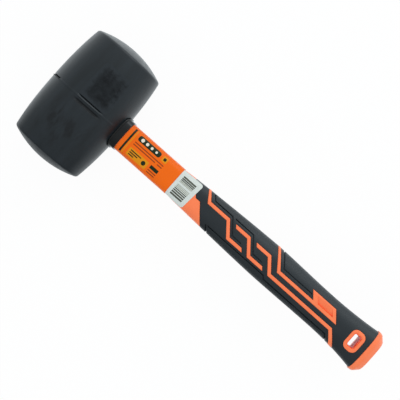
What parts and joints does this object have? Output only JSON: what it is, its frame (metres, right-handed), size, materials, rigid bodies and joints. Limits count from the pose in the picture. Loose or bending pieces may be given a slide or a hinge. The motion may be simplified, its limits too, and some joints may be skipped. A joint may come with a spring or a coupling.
{
  "type": "rubber mallet",
  "caption": "Rubber mallet with a barrel-shaped solid rubber head, a two-colour soft grip over a hard moulded handle on a fibreglass core, and a hanging slot in the butt.",
  "frame": {"origin": "where the handle's axis meets the butt's flat end face", "axes": "+X along the handle from the butt towards the head; the head's own axis runs along Y; +Z is square to one of the handle's flat sides, the one with the small label"},
  "size_m": [0.3052, 0.1024, 0.0654],
  "materials": {
    "moulded_rubber": "black moulded rubber, satin, with a faint mould grain",
    "bonding_resin": "cured resin, not seen",
    "fibreglass_rod": "pultruded glass fibre rod, not seen",
    "hard_orange": "orange moulded polypropylene, satin",
    "soft_grip": "soft black thermoplastic rubber, fine mould texture",
    "hard_black": "black moulded polypropylene, semi-gloss",
    "printed_film": "printed plastic film, semi-gloss",
    "label_paper": "coated white label paper"
  },
  "bodies": {
    "root": {"head": "moulded_rubber", "eye_resin": "bonding_resin", "core_rod": "fibreglass_rod", "handle_body": "hard_orange", "grip_sleeve": "soft_grip", "neck_collar": "hard_black", "wrap_label": "printed_film", "code_label": "label_paper"}
  },
  "joints": []
}
